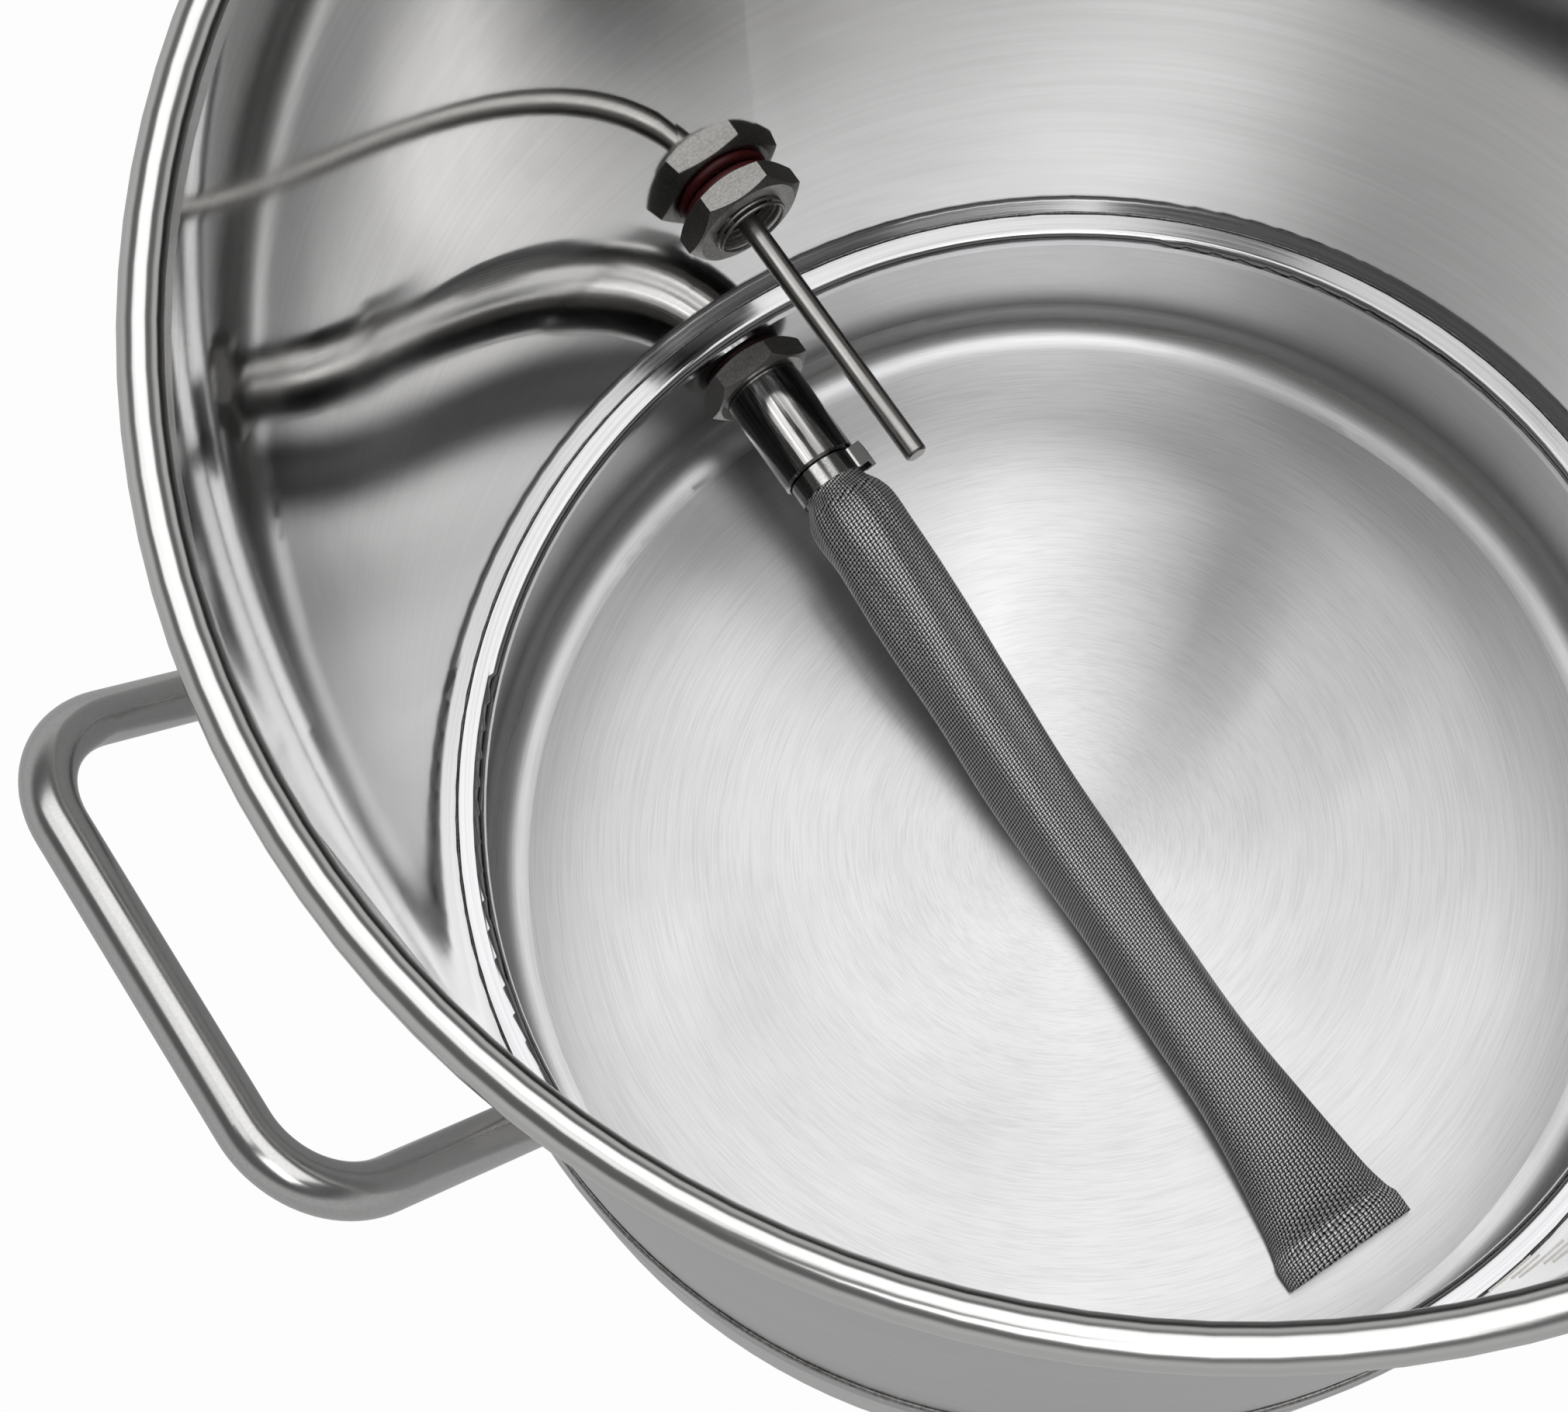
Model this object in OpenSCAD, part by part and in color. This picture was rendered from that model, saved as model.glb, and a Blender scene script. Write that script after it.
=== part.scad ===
// Stepped stainless brew kettle with a ball valve, a dial thermometer and a mesh strainer.
// +Z is up, the origin is the centre of the flat base, and the valve and dial face -Y.

/* [Kettle] */
// Inner diameter of the upper wall
upper_d = 360; // [290:5:450]
// Height from the ledge to the middle of the rim bead
upper_h = 342; // [260:2:430]
// Depth of the lower pan, from the top of the ledge to the inner floor
lower_h = 84; // [68:1:110]
// How much wider the lower pan is than the upper wall, on the radius
pan_step = 2.7; // [1.8:0.1:6]
// Width of the ledge that a false bottom rests on
ledge_w = 7.5; // [5:0.5:12]
// Fall of the ledge toward the middle, so it drains
ledge_fall = 0.6; // [0:0.1:1.5]
// Height of the turned-down edge of the ledge
lip_h = 6.4; // [4.5:0.1:10]
// Thickness of the steel sheet
sheet_t = 1.2; // [0.8:0.1:2]
// Outer diameter of the rolled rim bead
bead_d = 8.4; // [6:0.2:12]
// Radius where the pan's wall meets the floor
corner_r = 13; // [6:0.5:18]
// Radius of the rounded inner edge of the ledge
step_r = 3; // [2.5:0.5:4]
// Radius of the pan's outer shoulder
shoulder_r = 3; // [2.5:0.5:5]

/* [Handles] */
// Diameter of the handle rod
rod_d = 10; // [8:0.5:14]
// Distance between the two legs of a handle
handle_span = 100; // [80:1:130]
// Length of a handle along its slope, from the wall to the middle of the grip
handle_reach = 48; // [40:1:70]
// Centreline radius of the bends
handle_bend_r = 19; // [14:1:28]
// Upward slope of the handles in degrees
handle_tilt = 42; // [0:1:50]
// Depth of the handle roots below the middle of the rim bead
handle_drop = 55; // [40:1:90]
// Width of a weld pad
pad_w = 20; // [16:1:34]
// Height of a weld pad
pad_h = 28; // [22:1:46]
// Thickness of a weld pad
pad_t = 2; // [1.5:0.1:3]
// Corner radius of a weld pad
pad_corner_r = 6; // [3:0.5:8]

/* [Bulkhead fittings] */
// Width across flats of the lock nuts
nut_af = 31.8; // [29:0.1:40]
// Thickness of a lock nut
nut_t = 8.5; // [6:0.5:12]
// Outer diameter of the half-inch pipe thread
thread_d = 20.6; // [19:0.1:24]
// Space left round each thread and each part that stays still
fit_gap = 0.2; // [0.1:0.05:0.4]
// Radial space round each part that turns
run_gap = 0.05; // [0.03:0.01:0.1]
// Diameter of the port holes in the walls
port_d = 22.2; // [21:0.1:28]
// Space between the wall and the back of a lock nut
nut_standoff = 3.3; // [2:0.1:4.5]
// Thickness of the sealing rings
seal_t = 3.2; // [2.2:0.1:4.5]
// Diameter of the flat washers outside the wall
washer_d = 34; // [30:1:44]
// Thickness of the flat washers
washer_t = 1.5; // [1:0.1:3]

/* [Thermometer] */
// Height of the thermometer above the ledge
thermo_rise = 76; // [60:1:110]
// Diameter of the stem
stem_d = 6.35; // [5.5:0.05:8]
// Length of the stem inside the wall
stem_len = 95; // [60:1:110]
// Wall of the stem tube
stem_t = 0.5; // [0.3:0.05:0.8]
// Outer diameter of the bezel
bezel_d = 78; // [60:1:100]
// Depth of the dial case
case_depth = 17; // [14:1:26]
// Thickness of the case sheet
case_t = 1; // [0.8:0.1:2]
// Thickness of the lens
lens_t = 2; // [1.5:0.1:3]
// Width across flats of the thermometer's hexagon
thermo_hex_af = 27; // [24:0.5:34]
// Radius of the spindle that carries the pointer
spindle_r = 0.8; // [0.6:0.05:1.2]

/* [Ball valve] */
// Depth of the valve axis below the ledge
valve_drop = 45; // [38:1:60]
// Diameter of the ball
ball_d = 25; // [22:0.5:32]
// Bore through the ball and the fittings
bore_d = 15; // [12:0.5:17]
// Outer diameter of the valve body
valve_body_d = 36; // [32:1:48]
// Width across flats of the valve's hexagonal ends
valve_hex_af = 27; // [25:0.5:36]
// Depth of the threaded sockets in the valve
socket_depth = 14; // [10:0.5:18]
// Diameter of the valve stem
valve_stem_d = 8; // [6:0.5:10]
// Length of the lever from the stem to its tip
lever_len = 98; // [80:1:130]
// Width of the lever
lever_w = 16; // [12:0.5:22]
// Thickness of the lever
lever_t = 2.5; // [2:0.1:4]
// Height of the step in the lever
lever_rise = 14; // [8:1:24]
// Length of the grip sleeve
grip_len = 62; // [40:1:70]
// Wall of the grip sleeve
grip_t = 1.6; // [1:0.1:3]

/* [Strainer] */
// Outer diameter of the strainer sleeve
sleeve_d = 25.4; // [23:0.2:30]
// Length of the strainer sleeve
sleeve_len = 33.5; // [24:0.5:44]
// Outer diameter of the spigot under the screen
spigot_d = 19.2; // [17:0.2:21]
// Length of the spigot
spigot_len = 9; // [8:0.5:16]
// Width of the ear clamp
clamp_w = 7; // [5:0.2:7.4]
// Thickness of the clamp band
clamp_t = 0.7; // [0.5:0.1:1]
// Thickness of the woven screen
screen_t = 0.7; // [0.5:0.1:1.2]
// Width of the screen tube along its straight run
screen_w = 27.4; // [24:0.2:34]
// Width of the pressed flat end of the screen
screen_end_w = 45; // [36:0.2:54]
// Space between the end of the screen and the wall opposite the valve
screen_gap = 32; // [20:0.5:60]
// Length of the folded hem at the end of the screen
hem_len = 8.6; // [6:0.2:12]

/* [Hidden] */
$fn = 96;
eps = 0.01;

// Kettle
upper_r = upper_d / 2;
lower_r = upper_r + pan_step;
bead_r = bead_d / 2;
ledge_z = sheet_t + lower_h;
rim_z = ledge_z + upper_h;
upper_out_r = upper_r + sheet_t;
lower_out_r = lower_r + sheet_t;
lip_in_r = upper_r - ledge_w;

// Handles
root_z = rim_z - handle_drop;
pad_out_r = upper_out_r + pad_t;
pad_angle = asin(handle_span / 2 / upper_out_r);

// Bulkhead fittings: z of these values runs outwards from the kettle's axis
thread_r = thread_d / 2;
nut_hole_r = thread_r + fit_gap;
seal_ring_r = nut_hole_r + seal_t / 2 + 0.1;
thermo_z = ledge_z + thermo_rise;
drain_z = ledge_z - valve_drop;
// A flat seal on a curved wall touches at its sides, so it stands off by the sagitta
function sagitta(r, half) = r - sqrt(r * r - half * half);
seal_sink = sagitta(upper_r, seal_ring_r) + 0.05;
washer_sag = 0.05;

// Thermometer
case_r = bezel_d / 2 - 2;
hex_t = 8;
neck_r = 7;
neck_len = 6;
thermo_hex_z = upper_out_r + washer_sag + washer_t;
case_z = thermo_hex_z + hex_t + neck_len;
front_z = case_z + case_depth;
dial_t = 0.8;
dial_z = front_z - 10;
pointer_t = 0.7;
pointer_z = dial_z + dial_t + 1.6;
lens_z = front_z + 0.1;
bezel_lip = 4;
thermo_recess = 4.5;
boss_end_z = upper_r - nut_standoff - nut_t + thermo_recess;
stem_r = stem_d / 2;
tip_z = upper_r - stem_len;
coil_z = tip_z + 6;
coil_len = 42;
spindle_start_z = coil_z + 4;
pointer_len = case_r - 11;
pointer_rest = 90;

// Ball valve
ball_r = ball_d / 2;
bore_r = bore_d / 2;
cap_z = lower_out_r + washer_sag + washer_t;
cap_hex_t = socket_depth + 1;
body_z = cap_z + cap_hex_t;
seat_t = 4;
chamber_r = ball_r + 0.4;
cap_spigot = 6;
ball_z = body_z + cap_spigot + seat_t + sqrt(ball_r * ball_r - bore_r * bore_r) - 1.2;
body_len = 2 * (ball_z - body_z) - cap_spigot + 4;
body_end_z = body_z + body_len;
outlet_z = body_end_z + socket_depth + 1;
valve_stem_r = valve_stem_d / 2;
bonnet_r = 9;
bonnet_top = valve_body_d / 2 + 7;
packing_r = 6.6;
packing_h = 5;
nut_h = 5;
lever_y = bonnet_top + nut_h + 0.6;
stem_top = lever_y + lever_t + 8;
stem_flat = valve_stem_r - 0.8;
tang_w = 3;
lever_bend_x = 24;
lever_joggle = 14;

// Strainer
nut_face_z = lower_r - nut_standoff - nut_t;
sleeve_z = nut_face_z - 0.4;
sleeve_end_z = sleeve_z - sleeve_len;
spigot_end_z = sleeve_end_z - spigot_len;
nipple_end_z = sleeve_z - 12;
neck_w = spigot_d + 2 * fit_gap + 2 * screen_t;
clamp_r = neck_w / 2 + 0.1;
clamp_z = sleeve_end_z - 0.5 - clamp_w;
rest_gap = 0.35;
// Along the kettle's y axis, the screen starts on the spigot and ends by the far wall
screen_y0 = -(sleeve_end_z - 0.3);
free_y0 = -(clamp_z - 0.8);
screen_y1 = lower_r - screen_gap;
hem_share = 1 - hem_len / (screen_y1 - free_y0);
// Each row is a share of the free length, a share of the fall, and the width and height
screen_rows = [
    [0.00, 1.00, neck_w, neck_w], [0.03, 0.98, screen_w + 1.4, screen_w],
    [0.08, 0.92, screen_w + 1.8, screen_w - 0.5], [0.17, 0.70, screen_w + 1, screen_w - 1],
    [0.26, 0.42, screen_w, screen_w - 2], [0.36, 0.18, screen_w - 0.4, screen_w - 3],
    [0.50, 0.02, screen_w - 0.6, screen_w - 4], [0.71, 0.00, screen_w - 1, screen_w - 6],
    [0.84, 0.00, (screen_w + screen_end_w) / 2 - 5.5, 16], [0.93, 0.00, screen_end_w - 7.5, 9],
    [hem_share, 0.00, screen_end_w - 1.5, 4.8], [1.00, 0.00, screen_end_w, 4.4]];
screen_sides = 16;
screen_steps = 3;

// Turns a part made along +Z so that it runs outwards through the wall at -Y
module port(z) {
    translate([0, 0, z]) rotate([90, 0, 0]) children();
}

module ring(r_out, r_in, h) {
    difference() {
        cylinder(r = r_out, h = h);
        translate([0, 0, -1]) cylinder(r = r_in, h = h + 2);
    }
}

module hexagon(af, h) {
    cylinder(d = af / cos(30), h = h, $fn = 6);
}

// Hexagon with its corners chamfered on the faces that are asked for
module chamfered_hexagon(af, h, front = true, back = false) {
    corner = af / cos(30) / 2;
    drop = (corner - af / 2 + 0.6) * tan(30);
    intersection() {
        hexagon(af, h);
        union() {
            translate([0, 0, back ? drop : 0])
                cylinder(r = corner, h = h - (front ? drop : 0) - (back ? drop : 0));
            if (front) translate([0, 0, h - drop]) cylinder(r1 = corner, r2 = af / 2 - 0.6, h = drop);
            if (back) cylinder(r1 = af / 2 - 0.6, r2 = corner, h = drop);
        }
    }
}

module rounded_square(w, h, r) {
    square([w - 2 * r, h], center = true);
    square([w, h - 2 * r], center = true);
    for (x = [-1, 1], y = [-1, 1])
        translate([x * (w / 2 - r), y * (h / 2 - r)]) circle(r = r, $fn = 48);
}

module quarter_ring(r_out, r_in) {
    intersection() {
        difference() {
            circle(r = r_out);
            circle(r = r_in);
        }
        square(r_out + 1);
    }
}

// Kettle

module pan_profile() {
    square([lower_r - corner_r, sheet_t]);
    translate([lower_r - corner_r, sheet_t + corner_r])
        rotate(-90) quarter_ring(corner_r + sheet_t, corner_r);
    translate([lower_r, sheet_t + corner_r])
        square([sheet_t, ledge_z - shoulder_r - sheet_t - corner_r]);
}

module ledge_profile() {
    shoulder_x = lower_out_r - shoulder_r;
    translate([shoulder_x, ledge_z - shoulder_r]) quarter_ring(shoulder_r, shoulder_r - sheet_t);
    edge_x = lip_in_r + step_r;
    edge_z = ledge_z - ledge_fall;
    translate([upper_r, ledge_z - sheet_t]) square([shoulder_x - upper_r, sheet_t]);
    polygon([[edge_x, edge_z - sheet_t], [upper_r, ledge_z - sheet_t], [upper_r, ledge_z], [edge_x, edge_z]]);
    translate([edge_x, edge_z - step_r]) rotate(90) quarter_ring(step_r, step_r - sheet_t);
    translate([lip_in_r, ledge_z - lip_h]) square([sheet_t, lip_h - ledge_fall - step_r]);
}

module lower_pan() {
    color("silver") difference() {
        rotate_extrude($fn = 180) pan_profile();
        port(drain_z) translate([0, 0, lower_r - 20]) cylinder(d = port_d, h = 40);
    }
}

module pan_ledge() {
    color("silver") rotate_extrude($fn = 180) ledge_profile();
}

module upper_wall() {
    color("lightgray") difference() {
        rotate_extrude($fn = 180) {
            translate([upper_r, ledge_z]) square([sheet_t, upper_h]);
            translate([upper_r + bead_r, rim_z]) difference() {
                circle(r = bead_r);
                circle(r = bead_r - sheet_t);
            }
        }
        port(thermo_z) translate([0, 0, upper_r - 20]) cylinder(d = port_d, h = 40);
    }
}

// Handles

module handle() {
    straight = handle_reach - handle_bend_r;
    start = -3 * rod_d;
    color("gainsboro") difference() {
        translate([upper_out_r, 0, root_z]) rotate([0, -handle_tilt, 0]) {
            for (side = [-1, 1]) {
                translate([start, side * handle_span / 2, 0])
                    rotate([0, 90, 0]) cylinder(d = rod_d, h = straight - start);
                translate([straight, side * (handle_span / 2 - handle_bend_r), 0])
                    rotate(side > 0 ? 0 : -90)
                        rotate_extrude(angle = 90) translate([handle_bend_r, 0]) circle(d = rod_d, $fn = 48);
            }
            translate([handle_reach, -(handle_span / 2 - handle_bend_r), 0])
                rotate([-90, 0, 0]) cylinder(d = rod_d, h = handle_span - 2 * handle_bend_r);
        }
        translate([0, 0, root_z - 100]) cylinder(r = pad_out_r, h = 200, $fn = 180);
    }
}

module handle_pads() {
    color("silver") for (side = [-1, 1]) intersection() {
        translate([0, 0, root_z - pad_h]) difference() {
            cylinder(r = pad_out_r, h = 2 * pad_h, $fn = 180);
            translate([0, 0, -1]) cylinder(r = upper_out_r, h = 2 * pad_h + 2, $fn = 180);
        }
        rotate(side * pad_angle) translate([upper_out_r - 8, 0, root_z])
            rotate([90, 0, 90]) linear_extrude(16) rounded_square(pad_w, pad_h, pad_corner_r);
    }
}

module handle_right() { handle(); }
module handle_left() { mirror([1, 0, 0]) handle(); }
module handle_pads_right() { handle_pads(); }
module handle_pads_left() { mirror([1, 0, 0]) handle_pads(); }

// Bulkhead fittings, made along +Z with the back of the nut at z = 0 and its face at -nut_t

module lock_nut(bare_len, turn_angle) {
    groove_r = seal_ring_r + seal_t / 2 + 0.2;
    groove_t = max(seal_sink + seal_t + 0.1 - nut_standoff, 0.2);
    pitch = 1.8;
    minor_r = nut_hole_r - 1.1;
    difference() {
        rotate([180, 0, 0]) rotate(turn_angle) chamfered_hexagon(nut_af, nut_t, true, true);
        translate([0, 0, -nut_t + bare_len - 0.3]) cylinder(r = nut_hole_r, h = nut_t + 1);
        translate([0, 0, -groove_t]) cylinder(r = groove_r, h = groove_t + 1);
        translate([0, 0, -nut_t - eps]) cylinder(r1 = nut_hole_r + 0.5, r2 = minor_r, h = 1.2);
        if (bare_len > 0) {
            translate([0, 0, -nut_t - 1]) cylinder(r = minor_r, h = nut_t + 2);
            for (turn = [0:1]) translate([0, 0, -nut_t + 1.4 + turn * pitch])
                cylinder(r1 = nut_hole_r, r2 = minor_r, h = 1);
        }
    }
}

module seal_ring() {
    rotate_extrude() translate([seal_ring_r, 0]) circle(d = seal_t, $fn = 48);
}

module washer() {
    ring(washer_d / 2, port_d / 2 - 0.4, washer_t);
}

module thermo_lock_nut() {
    color("dimgray") port(thermo_z) translate([0, 0, upper_r - nut_standoff]) lock_nut(thermo_recess, 4);
}

module thermo_seal_ring() {
    color("darkred") port(thermo_z) translate([0, 0, upper_r - seal_sink - seal_t / 2]) seal_ring();
}

module thermo_washer() {
    color("silver") port(thermo_z) translate([0, 0, upper_out_r + washer_sag]) washer();
}

module drain_lock_nut() {
    color("dimgray") port(drain_z) translate([0, 0, lower_r - nut_standoff]) lock_nut(0, 12);
}

module drain_seal_ring() {
    color("darkred") port(drain_z) translate([0, 0, lower_r - seal_sink - seal_t / 2]) seal_ring();
}

module drain_washer() {
    color("silver") port(drain_z) translate([0, 0, lower_out_r + washer_sag]) washer();
}

module drain_nipple() {
    color("silver") port(drain_z) translate([0, 0, nipple_end_z])
        ring(thread_r, bore_r, body_z - 1 - nipple_end_z);
}

// Thermometer

module thermo_boss() {
    color("silver") port(thermo_z) difference() {
        union() {
            translate([0, 0, boss_end_z]) cylinder(r = thread_r, h = thermo_hex_z - boss_end_z);
            translate([0, 0, thermo_hex_z]) chamfered_hexagon(thermo_hex_af, hex_t);
            translate([0, 0, thermo_hex_z + hex_t]) cylinder(r = neck_r, h = neck_len + case_t);
        }
        translate([0, 0, boss_end_z - 1]) cylinder(r = stem_r + fit_gap, h = 9);
        translate([0, 0, boss_end_z]) cylinder(r = spindle_r + run_gap, h = 60);
    }
}

module thermo_stem() {
    tip_r = 0.6;
    tube_len = boss_end_z + 7.8 - tip_z;
    color("silver") port(thermo_z) translate([0, 0, tip_z]) difference() {
        union() {
            translate([0, 0, tip_r]) cylinder(r = stem_r, h = tube_len - tip_r);
            cylinder(r1 = stem_r - tip_r, r2 = stem_r, h = tip_r);
        }
        translate([0, 0, 1.5]) cylinder(r = stem_r - stem_t, h = tube_len);
    }
}

module thermo_bimetal_coil() {
    strip = 0.35;
    color("goldenrod") port(thermo_z) translate([0, 0, coil_z])
        linear_extrude(coil_len, twist = 360 * 14, slices = 170, $fn = 4)
            translate([spindle_r + 0.6, -0.6]) square([strip, 1.2]);
}

module thermo_spindle() {
    color("gray") port(thermo_z) translate([0, 0, spindle_start_z])
        cylinder(r = spindle_r, h = pointer_z - spindle_start_z);
}

module thermo_case() {
    color("silver") port(thermo_z) translate([0, 0, case_z]) difference() {
        cylinder(r = case_r, h = case_depth, $fn = 120);
        translate([0, 0, case_t]) cylinder(r = case_r - case_t, h = case_depth, $fn = 120);
        translate([0, 0, -1]) cylinder(r = neck_r + fit_gap, h = case_t + 2);
    }
}

module thermo_dial() {
    color("white") port(thermo_z) translate([0, 0, dial_z])
        ring(case_r - case_t - fit_gap, spindle_r + 0.5, dial_t);
}

// The pointer rests on the left of the dial, at room temperature
module thermo_pointer() {
    color("black") port(thermo_z) translate([0, 0, pointer_z]) rotate(pointer_rest) {
        cylinder(r = 3, h = pointer_t);
        linear_extrude(pointer_t)
            polygon([[-1.1, -9], [1.1, -9], [0.9, pointer_len - 6],
                [0, pointer_len], [-0.9, pointer_len - 6]]);
    }
}

module thermo_lens() {
    color("white", 0.4) port(thermo_z) translate([0, 0, lens_z])
        cylinder(r = case_r + 0.6, h = lens_t, $fn = 120);
}

module thermo_bezel() {
    rim = bezel_d / 2;
    skirt = 6;
    color("silver") port(thermo_z) translate([0, 0, front_z - skirt]) difference() {
        union() {
            cylinder(r = rim, h = skirt + lens_t + 0.6, $fn = 120);
            translate([0, 0, skirt + lens_t + 0.6]) cylinder(r1 = rim, r2 = rim - 1.2, h = 1.2, $fn = 120);
        }
        translate([0, 0, -1]) cylinder(r = case_r + 0.1, h = skirt + 1.05, $fn = 120);
        translate([0, 0, skirt]) cylinder(r = case_r + 0.8, h = lens_t + 0.3, $fn = 120);
        translate([0, 0, skirt]) cylinder(r = rim - bezel_lip - 1.4, h = 10, $fn = 120);
    }
}

// Ball valve

module valve_end_cap() {
    color("silver") port(drain_z) difference() {
        union() {
            translate([0, 0, cap_z]) chamfered_hexagon(valve_hex_af, cap_hex_t, false, true);
            translate([0, 0, body_z - 1]) cylinder(r = chamber_r - fit_gap, h = cap_spigot + 1);
        }
        translate([0, 0, cap_z - 1]) cylinder(r = thread_r + fit_gap, h = socket_depth + 1);
        translate([0, 0, cap_z - 1]) cylinder(r = bore_r, h = 40);
    }
}

module valve_body() {
    color("silver") port(drain_z) difference() {
        union() {
            translate([0, 0, body_z + 0.1]) cylinder(d = valve_body_d, h = body_len - 0.1);
            translate([0, 0, body_end_z]) chamfered_hexagon(valve_hex_af, outlet_z - body_end_z);
            translate([0, 0, ball_z]) rotate([-90, 0, 0]) cylinder(r = bonnet_r, h = bonnet_top);
        }
        translate([0, 0, body_z - 1]) cylinder(r = chamber_r, h = 2 * ball_z - 2 * body_z - cap_spigot + 1);
        translate([0, 0, outlet_z - socket_depth]) cylinder(r = thread_r, h = socket_depth + 1);
        translate([0, 0, ball_z]) cylinder(r = bore_r, h = 60);
        translate([0, 0, ball_z]) rotate([-90, 0, 0]) {
            cylinder(r = valve_stem_r + run_gap, h = bonnet_top + 1);
            translate([0, 0, bonnet_top - packing_h]) cylinder(r = packing_r, h = packing_h + 1);
        }
    }
}

// A seat made along +Z with the ball's centre at the origin
module seat() {
    face = sqrt(ball_r * ball_r - bore_r * bore_r) - 1.2;
    color("white") difference() {
        translate([0, 0, face]) ring(chamber_r - 0.1, bore_r, seat_t);
        sphere(r = ball_r + run_gap);
    }
}

module valve_seat_outlet() { port(drain_z) translate([0, 0, ball_z]) seat(); }
module valve_seat_inlet() { port(drain_z) translate([0, 0, ball_z]) rotate([180, 0, 0]) seat(); }

// The valve rests closed, with the bore of the ball across the flow
module valve_ball() {
    color("gainsboro") port(drain_z) translate([0, 0, ball_z]) difference() {
        rotate([0, 90, 0]) rotate_extrude() intersection() {
            circle(r = ball_r);
            translate([bore_r, -ball_r]) square(ball_d);
        }
        translate([-tang_w / 2, ball_r - 3.2, -ball_r]) cube([tang_w, 10, ball_d]);
    }
}

module valve_stem() {
    color("gray") port(drain_z) translate([0, 0, ball_z]) rotate([-90, 0, 0]) difference() {
        union() {
            translate([0, 0, ball_r + 0.5]) cylinder(r = valve_stem_r, h = stem_top - ball_r - 0.5);
            translate([-tang_w / 2 + run_gap, -valve_stem_r + 0.5, ball_r - 3])
                cube([tang_w - 2 * run_gap, valve_stem_d - 1, 4]);
        }
        for (side = [0, 180]) rotate(side) translate([-5, stem_flat, lever_y - 0.3])
            cube([10, 10, stem_top]);
    }
}

module valve_packing() {
    color("white") port(drain_z) translate([0, 0, ball_z]) rotate([-90, 0, 0])
        translate([0, 0, bonnet_top - packing_h])
            ring(packing_r - 0.05, valve_stem_r + run_gap, packing_h - 0.1);
}

module valve_packing_nut() {
    color("gray") port(drain_z) translate([0, 0, ball_z]) rotate([-90, 0, 0])
        translate([0, 0, bonnet_top]) difference() {
            chamfered_hexagon(17, nut_h);
            translate([0, 0, -1]) cylinder(r = valve_stem_r + run_gap, h = nut_h + 2);
        }
}

// Stem hole of the lever, with two flats
module stem_hole(h) {
    gap = 0.05;
    translate([0, 0, -1]) intersection() {
        cylinder(r = valve_stem_r + gap, h = h + 2);
        translate([-10, -stem_flat - gap, 0]) cube([20, 2 * (stem_flat + gap), h + 2]);
    }
}

// The lever lies along -X at rest
module valve_lever() {
    tip = -lever_len;
    t = lever_t;
    slope_end = -lever_bend_x - lever_joggle;
    color("silver") port(drain_z) translate([0, 0, ball_z]) rotate([-90, 0, 0]) translate([0, 0, lever_y]) {
        difference() {
            union() {
                cylinder(d = lever_w + 2, h = t);
                rotate([90, 0, 0]) translate([0, 0, -lever_w / 2]) linear_extrude(lever_w)
                    polygon([[0, 0], [0, t], [-lever_bend_x, t], [slope_end, t + lever_rise],
                        [tip, t + lever_rise], [tip, lever_rise],
                        [slope_end + 0.8, lever_rise], [-lever_bend_x + 0.8, 0]]);
            }
            stem_hole(t);
        }
    }
}

module valve_lever_nut() {
    color("gray") port(drain_z) translate([0, 0, ball_z]) rotate([-90, 0, 0])
        translate([0, 0, lever_y + lever_t + 0.05]) difference() {
            chamfered_hexagon(13, nut_h);
            translate([0, 0, -1]) cylinder(r = valve_stem_r + 0.05, h = nut_h + 2);
        }
}

module valve_grip() {
    gap = 0.1;
    outer_w = lever_w + 2 * gap + 2 * grip_t;
    outer_t = lever_t + 2 * gap + 2 * grip_t;
    end_x = -lever_len - 2;
    color("black") port(drain_z) translate([0, 0, ball_z]) rotate([-90, 0, 0])
        translate([end_x, 0, lever_y + lever_rise + lever_t / 2]) rotate([0, 90, 0]) difference() {
            linear_extrude(grip_len) rounded_square(outer_t, outer_w, outer_t / 2 - 0.1);
            translate([0, 0, 1.9]) linear_extrude(grip_len)
                square([lever_t + 2 * gap, lever_w + 2 * gap], center = true);
        }
}

// Strainer

module strainer_sleeve() {
    barb_t = 1.2;
    color("gainsboro") port(drain_z) difference() {
        union() {
            translate([0, 0, sleeve_end_z + 0.8]) cylinder(d = sleeve_d, h = sleeve_len - 0.8);
            translate([0, 0, sleeve_end_z]) cylinder(d1 = sleeve_d - 1.6, d2 = sleeve_d, h = 0.8);
            translate([0, 0, spigot_end_z + barb_t]) cylinder(d = spigot_d, h = spigot_len);
            translate([0, 0, spigot_end_z]) cylinder(d1 = spigot_d - 0.6, d2 = spigot_d, h = barb_t);
        }
        translate([0, 0, nipple_end_z - 0.5]) cylinder(r = thread_r + fit_gap, h = sleeve_len);
        translate([0, 0, spigot_end_z - 1]) cylinder(r = bore_r, h = sleeve_len + 30);
    }
}

// A band with a bridge-shaped ear on the -X side
module strainer_ear_clamp() {
    ear_w = 8.5;
    ear_h = 5;
    ear_angle = 165;
    out_r = clamp_r + clamp_t;
    color("silver") port(drain_z) translate([0, 0, clamp_z]) {
        difference() {
            union() {
                cylinder(r = out_r, h = clamp_w);
                rotate(ear_angle) translate([clamp_r - 0.4, -ear_w / 2, 0]) cube([ear_h, ear_w, clamp_w]);
            }
            translate([0, 0, -1]) cylinder(r = clamp_r, h = clamp_w + 2);
            rotate(ear_angle) translate([clamp_r - 2, -ear_w / 2 + 1.2, -1])
                cube([ear_h + 0.4, ear_w - 2.4, clamp_w + 2]);
        }
    }
}

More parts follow.
